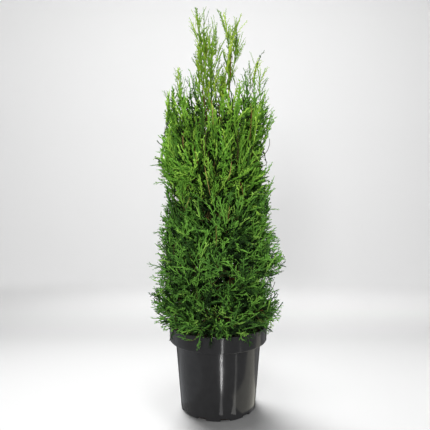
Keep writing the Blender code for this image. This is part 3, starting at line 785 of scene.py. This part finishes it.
STYLES = {
    "upright": Style(0.32, 29, 0.165, 30, 0.38, 0.25, 0.24, 0.043),
    "fan": Style(0.38, 40, 0.165, 37, 0.38, 0.30, 0.55, 0.042),
    "open": Style(0.20, 30, 0.140, 32, 0.42, 0.36, 0.12, 0.034),
    "inner": Style(0.44, 46, 0.150, 44, 0.45, 0.50, 0.40, 0.080)}
TEMPLATES_EACH = 12
SPINE_STEPS = 7


class Template:
    """One spray a unit long: points and three-sided faces of its threads."""

    def __init__(self):
        self.points = []
        self.faces = []

    def thread(self, route, width, roll=0.0):
        """Add a thread of three sides, rolled about its length, with a point at both ends."""
        start = len(self.points)
        first = start + 1
        rings = len(route) - 2
        last = first + 3 * rings
        self.points.append(route[0])
        for before, place, after in zip(route, route[1:], route[2:]):
            along = (after - before) / np.linalg.norm(after - before)
            side = np.cross((0.0, 0.0, 1.0), along)
            side /= np.linalg.norm(side)
            up = np.cross(along, side)
            normal = (up * math.cos(roll) + side * math.sin(roll)) * width
            side = np.cross(normal, along)
            self.points.append(place - side * 0.5 - normal * 0.2)
            self.points.append(place + side * 0.5 - normal * 0.2)
            self.points.append(place + normal * 0.4)
        self.points.append(route[-1])
        for corner in range(3):
            following = (corner + 1) % 3
            self.faces.append((start, first + following, first + corner))
            for low in range(first, last - 3, 3):
                self.faces.append((low + corner, low + following, low + following + 3))
                self.faces.append((low + corner, low + following + 3, low + corner + 3))
            self.faces.append((last, last - 3 + corner, last - 3 + following))


def bent_route(place, angle, length, steps, bend, lift):
    """Points of a branchlet that turns by the bend at each step."""
    route = [place]
    for step in range(steps):
        way = np.array((math.cos(angle), math.sin(angle), lift))
        route.append(route[-1] + way * length / steps)
        angle += bend
    return route


def slope(low, high):
    return math.atan2(high[1] - low[1], high[0] - low[0])


def make_template(style, dice):
    """A spray: its spine, side branchlets in turn and their own short shoots."""
    spray = Template()
    sway = style.sway * dice.uniform(-1.0, 1.0) / SPINE_STEPS
    spine = bent_route(np.zeros(3), -sway * SPINE_STEPS / 2, 1.0, SPINE_STEPS, sway, 0.0)
    spray.thread(spine, style.width)
    share = dice.uniform(0.08, 0.16)
    side = dice.choice((-1, 1))
    while share < 0.96:
        step = int(share * SPINE_STEPS)
        part = share * SPINE_STEPS - step
        root = spine[step] * (1 - part) + spine[step + 1] * part
        angle = slope(spine[step], spine[step + 1])
        angle += side * math.radians(style.angle) * dice.uniform(0.8, 1.2)
        envelope = min(1.0, 0.5 + 1.5 * share) * (1.0 - share) ** 0.55
        length = max(style.spread * envelope * dice.uniform(0.7, 1.2), 0.09)
        lift = dice.uniform(-0.35, 0.35)
        steps = 3 if length > 0.13 else 2
        branch = bent_route(root, angle, length, steps, -side * dice.uniform(0.02, 0.16), lift)
        spray.thread(branch, style.width * 0.95, dice.uniform(-0.8, 0.8))
        for number, (low, high) in enumerate(zip(branch, branch[1:])):
            for turn in (-1, 1):
                if dice.random() > style.sub_chance:
                    continue
                reach = length * style.sub_share * (1.0 - 0.45 * number / steps)
                reach = max(reach, 0.07) * dice.uniform(0.7, 1.2)
                way = slope(low, high)
                way += turn * math.radians(style.sub_angle) * dice.uniform(0.8, 1.2)
                begin = low + (high - low) * dice.uniform(0.45, 0.95)
                shoot = bent_route(
                    begin, way, reach, 2, -turn * 0.12, lift + dice.uniform(-0.25, 0.25))
                spray.thread(shoot, style.width * 0.9, dice.uniform(-0.8, 0.8))
        side = -side
        share += style.spacing * dice.uniform(0.8, 1.2) * (1.15 - 0.6 * share)
    return np.array(spray.points), np.array(spray.faces)


def make_templates():
    templates = {}
    for style_name, style in STYLES.items():
        for number in range(TEMPLATES_EACH):
            dice = random.Random(SEED + 100 * len(templates) + number)
            templates[style_name, number] = make_template(style, dice)
    return templates


class Sprays:
    """Where each spray lies, gathered by piece, and the meshes they make."""

    def __init__(self):
        self.templates = make_templates()
        self.places = {}

    def add(self, piece, style, number, root, along, across, length, curl, droop):
        rows = self.places.setdefault(piece, {}).setdefault((style, number), [])
        normal = along.cross(across)
        rows.append((*root, *along, *across, *normal, length, curl, droop))

    def mesh(self, piece):
        points = []
        faces = []
        start = 0
        for key, rows in self.places[piece].items():
            shape, corners = self.templates[key]
            table = np.array(rows)
            root, along, across, normal = (table[:, None, first:first + 3] for first in (0, 3, 6, 9))
            length, curl, droop = (table[:, column, None, None] for column in (12, 13, 14))
            x, y, z = (shape[None, :, column, None] for column in range(3))
            laid = root + length * (along * x + across * y + normal * (z + curl * x * x))
            laid = laid - np.array((0.0, 0.0, 1.0)) * droop * length * x * x
            points.append(laid.reshape(-1, 3) + CROWN_SHIFT)
            steps = start + len(shape) * np.arange(len(rows))
            faces.append((corners[None] + steps[:, None, None]).reshape(-1, 3))
            start += len(shape) * len(rows)
        return array_mesh(piece, np.concatenate(points), np.concatenate(faces), 3)


def spray_outline(root, along, across, length, curl, droop, spread):
    """Points round a spray by which it is kept inside the crown."""
    normal = along.cross(across)
    points = []
    for x, y in ((0.0, 0.0), (0.3, spread), (0.3, -spread), (0.65, spread * 0.8),
                 (0.65, -spread * 0.8), (1.0, 0.0)):
        place = along * x + across * y + normal * curl * x * x
        points.append(root + (place - UP * droop * x * x) * length)
    return points


def crown_holds(point, slack=0.0):
    radius = math.hypot(point.x, point.y)
    if radius > RIM_RADIUS + RIM_GAP:
        lowest = POT_HEIGHT - RIM_DRAPE
    elif radius > RIM_RADIUS - POT_WALL - RIM_GAP:
        lowest = POT_HEIGHT + RIM_GAP
    else:
        lowest = COMPOST_TOP + RIM_GAP
    if point.z < lowest or point.z > CROWN_TOP + slack:
        return False
    return radius < crown_reach(point.z, math.atan2(point.y, point.x)) + slack


def curve_between(start, bend, end, steps):
    route = []
    for step in range(steps + 1):
        t = step / steps
        route.append(start * (1 - t) ** 2 + bend * 2 * t * (1 - t) + end * t ** 2)
    return route


class Crown:
    """Grows twigs and sprays, mass by mass."""

    def __init__(self):
        self.sprays = Sprays()
        self.twigs = Tubes()
        self.stems = Tubes()
        self.bare_stems = Tubes()
        self.stem_points = []
        self.dice = None

    def deal(self, group):
        """Each group of sprays has its own row of random draws, by its name."""
        self.dice = random.Random(f"{group} {SEED}")

    def tone(self, tier_name, layer):
        """The green of a spray: pale at the crown's face, more often dark further in, where the
        darker greens are painted shade.
        """
        weights = (TIP_TONES[tier_name], BEHIND_TONES[tier_name], INNER_TONES)[layer]
        return self.dice.choices(TONE_NAMES, weights)[0]

    def frame_of(self, along, turn):
        """The way across a spray, turned about its length off the upright plane."""
        level = along.cross(UP)
        if level.length < 0.001:
            level = Vector((1, 0, 0))
        level.normalize()
        return level.cross(along) * math.cos(turn) + level * math.sin(turn)

    def turn(self):
        """Half of the sprays lie in any plane and half face outwards."""
        if self.dice.random() < FACING_SHARE:
            return math.radians(self.dice.gauss(90, 28))
        return self.dice.uniform(0, math.pi)

    def spray(self, tier_name, style, root, along, length, layer, slack=0.0, droop=0.0, free=False):
        """Lay one spray where the crown has room for it, shortened if need be."""
        dice = self.dice
        across = self.frame_of(along, self.turn())
        curl = dice.uniform(-0.25, 0.25)
        spread = STYLES[style].spread * 0.7
        for attempt in range(SPRAY_TRIES):
            outline = spray_outline(root, along, across, length, curl, droop, spread)
            if free or all(crown_holds(point, slack) for point in outline):
                break
            length *= SHORTEN
        else:
            return
        number = dice.randrange(TEMPLATES_EACH)
        piece = f"sprays_{tier_name}_{self.tone(tier_name, layer)}"
        self.sprays.add(piece, style, number, root, along, across, length, curl, droop)

    def twig(self, route, start_radius, tip_radius, gather=None):
        radii = np.linspace(start_radius, tip_radius, len(route))
        route = [point + Vector(CROWN_SHIFT) for point in route]
        (gather or self.twigs).add(route, radii, 4)

    def nearest_stem(self, place, limit):
        """The closest point of the stems that is no further out than the limit."""
        inside = [point for point in self.stem_points if math.hypot(point.x, point.y) < limit]
        return min(inside or self.stem_points, key=lambda point: (point - place).length_squared)

    def shoot(self, tier_name, tip, along, style, length, free=False):
        """A twig off the nearest stem that ends in a spray, with more sprays behind it."""
        dice = self.dice
        droop = dice.uniform(-0.10, 0.16)
        root = tip - along * length
        start = self.nearest_stem(root - along * 0.02, math.hypot(root.x, root.y))
        bend = root - along * (root - start).length * 0.5
        route = curve_between(start, bend, root, 5)
        if not free and not all(crown_holds(point, 0.01) for point in route[2:]):
            return
        self.twig(route, 0.0010, 0.0006)
        self.spray(tier_name, style, root, along, length, 0, droop=droop, free=free)
        side = dice.choice((-1, 1))
        for step in (4, 3, 2):
            way = route[step + 1] - route[step]
            if way.length < 0.0002:
                continue
            way.normalize()
            axis = self.frame_of(way, dice.uniform(0, math.pi))
            out = way * math.cos(FORK_ANGLE) + axis * side * math.sin(FORK_ANGLE)
            out = (out + Vector((0, 0, UPTURN))).normalized()
            size = length * dice.uniform(*SIDE_SHARES)
            end = route[step] + out * size
            # Side sprays lying deeper behind the outline than the face take the behind tones,
            # painted shade.
            depth = crown_reach(end.z, math.atan2(end.y, end.x)) - math.hypot(end.x, end.y)
            beside = abs(end.x) / math.hypot(end.x, end.y)
            face = FACE_DEPTH + (EDGE_DEPTH - FACE_DEPTH) * beside ** 4
            layer = 0 if free or depth < face else 1
            self.spray(tier_name, style, route[step], out, size, layer, droop=droop)
            side = -side

    def stem(self, points, steps, start_radius, tip_radius):
        """Add a smooth stem through the points and return its route."""
        route = smooth_route(points, steps)
        self.twig(route, start_radius, tip_radius, self.stems)
        self.stem_points += route[2:]
        return route

    def add_stems(self, tier, index, boughs, carriers):
        """The stem of a mass and the two side stems that fork off it."""
        tier_name, count, *rest = TIERS[tier]
        bearing = mass_bearing(tier, index)
        if (tier_name, index) in boughs:
            start = boughs[tier_name, index].points[-1]
        else:
            target = polar(HOLLOW_RADIUS, bearing, 0.0)
            height = tier_height(tier, TRUNK_RADIUS, 0.45)
            start, way = root_at(nearest_carrier(carriers, target, height), height, target)
        outer = crown_reach(tier_height(tier, 0.1), bearing) * 0.72
        points = [start]
        for share in STEM_SHARES:
            radius = HOLLOW_RADIUS + (outer - HOLLOW_RADIUS) * share
            points.append(polar(radius, bearing, tier_height(tier, radius, 0.42 + 0.10 * share)))
        fork = self.stem(points, 4, 0.0017, 0.0008)[4]
        for turn in (-0.5, 0.5):
            points = [fork]
            for share in STEM_SHARES:
                radius = HOLLOW_RADIUS + (outer * 0.96 - HOLLOW_RADIUS) * (0.25 + 0.75 * share)
                way = bearing + turn * share * math.pi / count
                points.append(polar(radius, way, tier_height(tier, radius, 0.40 + 0.12 * share)))
            self.stem(points, 3, 0.0012, 0.0007)

    def mass(self, tier, index):
        """The shoots at the face of one mass, in rows and columns."""
        tier_name, count, first, climb, rows, columns = TIERS[tier]
        dice = self.dice
        bearing = mass_bearing(tier, index)
        style, stretch = ("upright", UPRIGHT_STRETCH) if climb > UPRIGHT_CLIMB else ("fan", 1.0)
        for row in range(rows):
            for column in range(columns):
                share = (row + dice.uniform(0.1, 0.9)) / rows
                turn = ((column + dice.uniform(0.1, 0.9)) / columns * 2 - 1) * OVERLAP
                side = bearing + turn * (math.pi / count)
                height = tier_height(tier, FACE_RADIUS, share)
                depth = abs(dice.gauss(0.0, TIP_SCATTER))
                radius = crown_reach(height, side) - BULK_INSET - depth
                tip = polar(radius, side, tier_height(tier, radius, share))
                climb_here = climb + CLIMB_GAIN * (share - 0.5) + dice.gauss(0, CLIMB_SCATTER)
                along = heading(math.radians(climb_here), side + dice.gauss(0, SWING))
                self.shoot(tier_name, tip, along, style, dice.uniform(*SHOOT_LENGTHS) * stretch)
        self.fill_mass(tier, bearing)

    def fill_mass(self, tier, bearing):
        """The sprays inside one mass, in dark greens as painted shade."""
        tier_name, count, first, climb, *rest = TIERS[tier]
        dice = self.dice
        slack = INNER_SLACK.get(tier_name, INNER_SLACK_DEFAULT)
        for number in range(INNER_EACH.get(tier_name, INNER_EACH_DEFAULT)):
            way = bearing + dice.uniform(-1.0, 1.0) * (math.pi / count)
            radius = crown_reach(tier_height(tier, 0.1), way) * math.sqrt(dice.uniform(0.05, 0.6))
            place = polar(radius, way, tier_height(tier, radius, dice.uniform(0.1, 0.8)))
            rise = math.radians(climb + dice.uniform(-30, 25))
            along = heading(rise, way + dice.gauss(0, 0.8))
            self.spray(tier_name, "inner", place, along, dice.uniform(*INNER_LENGTHS), 2, slack)

    def top_shoot(self, tip_x, tip_z, foot_x, foot_z):
        """One shoot of the open top: crossed open sprays with shorter ones round the foot."""
        dice = self.dice
        depth = dice.gauss(0.0, TOP_SCATTER)
        tip = Vector((tip_x, depth * 1.3, tip_z))
        foot = Vector((foot_x, depth, foot_z))
        along = (tip - foot).normalized()
        span = (tip - foot).length
        tier_name = "spire" if tip_z > SPIRE_FOOT else "shoulder"
        for count in range(2):
            self.spray(tier_name, "open", foot, along, span * (1.0 - 0.2 * count), 0, free=True)
        side = dice.choice((-1, 1))
        for step in range(max(2, round(span / TOP_STEP))):
            place = foot.lerp(tip, step * TOP_STEP / span)
            out = along + Vector((side * dice.uniform(0.15, 0.40), dice.uniform(-0.4, 0.4), 0.0))
            left = span * (1.0 - step * TOP_STEP / span)
            size = min(dice.uniform(0.030, 0.050), span * 0.75, max(left + 0.005, 0.018))
            self.spray(tier_name, "open", place, out.normalized(), size, 0, free=True)
            side = -side

    def bundles(self, carriers):
        """Upright sprays round the upper shoots of the leaders, above the crown's shoulders."""
        dice = self.dice
        for limb, (centre, top, width, count) in zip((*carriers, carriers[1]), LEADER_BUNDLES):
            end = limb.points[-1]
            self.twig([end, Vector((centre, 0.0, top))], 0.0014, 0.0007, self.stems)
            for number in range(count):
                height = BUNDLE_FOOT + (top - BUNDLE_FOOT) * dice.random()
                place = Vector((
                    centre + dice.gauss(0, width), dice.gauss(0, width * 1.3), height))
                out = Vector((dice.gauss(0, 0.16), dice.gauss(0, 0.20), 1.0)).normalized()
                length = min(dice.uniform(0.050, 0.085), top + 0.035 - height)
                self.spray("spire", "upright", place, out, max(length, 0.035), 0, free=True)

    def core(self, carriers):
        """Sprays close to the trunk, in dark greens as painted shade where the crown lets no light
        through.
        """
        dice = self.dice
        for number in range(CORE_SPRAYS):
            height = dice.uniform(CORE_FOOT, CORE_TOP)
            axis, radius = carriers[number % 2].at_height(max(height, LEADER_ROUTE[0][2]))
            way = dice.uniform(0, math.tau)
            rise = math.radians(dice.uniform(25, 80))
            place = Vector((axis.x, axis.y, height)) + polar(dice.uniform(0.005, 0.035), way, 0.0)
            length = dice.uniform(*INNER_LENGTHS)
            # Below CORE_SHADED the core sprays take the inner tones and above it the behind tones,
            # painted shade.
            tier_name, layer = ("middle", 2) if height < CORE_SHADED else ("shoulder", 1)
            self.spray(tier_name, "inner", place, heading(rise, way), length, layer, CORE_SLACK)

    def edge_tips(self):
        """The longest shoots, by which the crown's outline is known."""
        for tier_name, tip_x, tip_z, climb in EDGE_TIPS:
            rise = math.radians(climb)
            way = 0.0 if tip_x > 0 else math.pi
            along = heading(rise, way + self.dice.gauss(0, 0.15))
            tip = Vector((tip_x * EDGE_REACH, self.dice.gauss(0, 0.012), tip_z))
            style = "upright" if climb > 40 else "fan"
            self.shoot(tier_name, tip, along, style, self.dice.uniform(*EDGE_LENGTHS), free=True)

    def drapes(self):
        """Sprays that hang over the pot's rim in front."""
        for tip_x, tip_z in DRAPES:
            tip = Vector((tip_x, -math.sqrt(DRAPE_RADIUS ** 2 - tip_x ** 2), tip_z))
            root = Vector((tip_x * 0.80, tip.y * 0.80, POT_HEIGHT + 0.030))
            along = (tip - root).normalized()
            length = (tip - root).length
            self.spray("skirt", "fan", root, along, length, 0, free=True)

    def face_stems(self):
        """Bare stretches of stem that show between the sprays."""
        for number, (foot_x, foot_z, top_x, top_z) in enumerate(FACE_STEMS):
            middle = (foot_z + top_z) / 2
            y = -math.sqrt(max(crown_reach(middle, -math.pi / 2) ** 2 - foot_x ** 2, 0.0)) + 0.004
            foot = Vector((foot_x, y, foot_z * 0.8 + top_z * 0.2))
            top = Vector((top_x, y, top_z * 0.8 + foot_z * 0.2))
            stretch = top - foot
            inward = Vector((0, 0.045, 0))
            route = smooth_route(
                (foot - stretch.normalized() * 0.02 + inward, foot, top,
                 top + stretch.normalized() * 0.02 + inward), 3)
            self.twig(route, 0.0006, 0.0004, (self.bare_stems, self.stems)[number % 2])


def adopt_sprays(sprays):
    """Make a piece of the sprays of each tier and tone, and return the pieces."""
    counts = {tier_name: count for tier_name, count, *rest in TIERS}
    pieces = []
    for piece in sorted(sprays.places):
        tier_name, tone = piece.split("_")[1:]
        nodes = ["foliage_spire_left", "foliage_spire_right"]
        if tier_name in counts:
            nodes = [f"foliage_{tier_name}_{index + 1}" for index in range(counts[tier_name])]
        red, green, blue = GREENS[tone]
        colour = (red * TINTS[tier_name][0], green, blue * TINTS[tier_name][1])
        surface = plain(f"green_{tier_name}_{tone}", colour, 0.7, 0.10)
        pieces.append(adopt(piece, sprays.mesh(piece), nodes, surface))
    return pieces


def make_foliage(carriers, boughs):
    """Grow the whole crown and return its pieces."""
    crown = Crown()
    for tier, index in masses():
        crown.add_stems(tier, index, boughs, carriers)
    for tier, (tier_name, count, *rest) in enumerate(TIERS):
        crown.deal(tier_name)
        for index in range(count):
            crown.mass(tier, index)
    crown.deal("core")
    crown.core(carriers)
    crown.deal("edge_tips")
    crown.edge_tips()
    crown.deal("drapes")
    crown.drapes()
    crown.deal("top_shoots")
    for shoot in TOP_SHOOTS:
        crown.top_shoot(*shoot)
    crown.deal("bundles")
    crown.bundles(carriers)
    crown.face_stems()
    pieces = adopt_sprays(crown.sprays)
    for name, tubes, colour in (
            ("twigs", crown.twigs, TWIG_COLOUR), ("stems", crown.stems, STEM_COLOUR),
            ("bare_stems", crown.bare_stems, BARE_STEM_COLOUR)):
        surface = plain(name + "_bark", colour, 0.8, 0.1)
        pieces.append(adopt(name, tubes.mesh(name), [], surface))
    return pieces


# Studio


def make_studio():
    """The camera, world, lights and backdrop; returns the back light."""
    scene = bpy.context.scene
    scene.view_settings.view_transform = "Standard"
    camera = bpy.data.objects.new("camera", bpy.data.cameras.new("camera"))
    scene.collection.objects.link(camera)
    camera.location = CAMERA_PLACE
    camera.rotation_euler = (math.pi / 2, 0.0, 0.0)
    camera.data.lens = CAMERA_SENSOR * PHOTO_FOCAL / PHOTO_SIDE
    camera.data.shift_y = -PHOTO_HORIZON_RISE / PHOTO_SIDE
    scene.camera = camera
    world = bpy.data.worlds.new("studio")
    world.use_nodes = True
    world.node_tree.nodes["Background"].inputs["Color"].default_value = (1, 1, 1, 1)
    world.node_tree.nodes["Background"].inputs["Strength"].default_value = WORLD_STRENGTH
    scene.world = world
    back = [area_light(*light) for light in LIGHTS][-1]
    back.data.spread = BACK_SPREAD
    for strip in STRIPS:
        gloss_strip(*strip)
    backdrop()
    return back


def gloss_strip(name, bearing, near, far, width, power, colour):
    """A light on the floor that only shows as a line of gloss down the pot's side."""
    bearing = math.radians(bearing)
    way = Vector((math.sin(bearing), -math.cos(bearing), 0.0))
    place = Vector((math.sin(bearing / 2), -math.cos(bearing / 2), 0.0)) * BODY_TOP_RADIUS
    place += way * (near + far) / 2 + Vector((0, 0, STRIP_HEIGHT))
    light = area_light(name, place, place + UP, width, far - near, power)
    light.rotation_euler = (math.pi, 0.0, bearing)
    light.data.color = colour
    light.visible_diffuse = False
    light.visible_camera = False


def area_light(name, place, target, width, height, power):
    data = bpy.data.lights.new(name, "AREA")
    data.shape = "RECTANGLE"
    data.size = width
    data.size_y = height
    data.energy = power
    light = bpy.data.objects.new(name, data)
    bpy.context.scene.collection.objects.link(light)
    light.location = place
    way = Vector(target) - Vector(place)
    light.rotation_euler = way.to_track_quat("-Z", "Y").to_euler()
    return light


def keep_light_off(light, pieces):
    """The light passes these pieces over and still throws their shadow on the rest."""
    passed = bpy.data.collections.new(light.name + "_passes_over")
    for piece in pieces:
        passed.objects.link(piece)
    for member in passed.collection_objects:
        member.light_linking.link_state = "EXCLUDE"
    light.light_linking.receiver_collection = passed


def backdrop():
    """A pale floor that sweeps up into the studio wall behind."""
    start, bend = BACKDROP_BEND_START, BACKDROP_BEND_RADIUS
    profile = [(-BACKDROP_REACH, 0.0), (start, 0.0)]
    profile += [(start + bend * math.sin(a), bend - bend * math.cos(a))
                for a in np.linspace(0.05, math.pi / 2, 20)]
    profile.append((start + bend, BACKDROP_REACH))
    points = []
    faces = []
    for y, z in profile:
        points += [(-BACKDROP_SIDE, y, z), (BACKDROP_SIDE, y, z)]
    for step in range(len(profile) - 1):
        faces.append((2 * step, 2 * step + 1, 2 * step + 3, 2 * step + 2))
    mesh = bpy.data.meshes.new("backdrop")
    mesh.from_pydata(points, [], faces)
    mesh.shade_smooth()
    mesh.materials.append(backdrop_paper())
    sweep = bpy.data.objects.new("backdrop", mesh)
    bpy.context.scene.collection.objects.link(sweep)
    sweep.visible_glossy = False


def backdrop_paper():
    """Paper with painted light and shade that follows the distance along it: back over the floor and
    up the wall.
    """
    paper = plain("backdrop_paper", (0.50, 0.50, 0.50), 0.9, 0.0)
    coordinates = add_node(paper, "TexCoord")
    split = add_node(paper, "SeparateXYZ")
    total = add_node(paper, "Math")
    span = add_node(paper, "MapRange", {"From Max": BACKDROP_SPAN})
    ramp = colour_ramp(
        paper, [(place / BACKDROP_SPAN, (shade,) * 3) for place, shade in BACKDROP_PAINTED_SHADES])
    ramp.color_ramp.interpolation = "EASE"
    connect(
        paper, (coordinates.outputs["Object"], split.inputs["Vector"]),
        (split.outputs["Y"], total.inputs[0]), (split.outputs["Z"], total.inputs[1]),
        (total.outputs["Value"], span.inputs["Value"]),
        (span.outputs["Result"], ramp.inputs["Fac"]),
        (ramp.outputs["Color"], shader_inputs(paper)["Base Color"]))
    return paper


back = make_studio()
make_pot()
make_compost()
make_crumbs()
carriers, boughs = make_limbs()
keep_light_off(back, make_foliage(carriers, boughs))
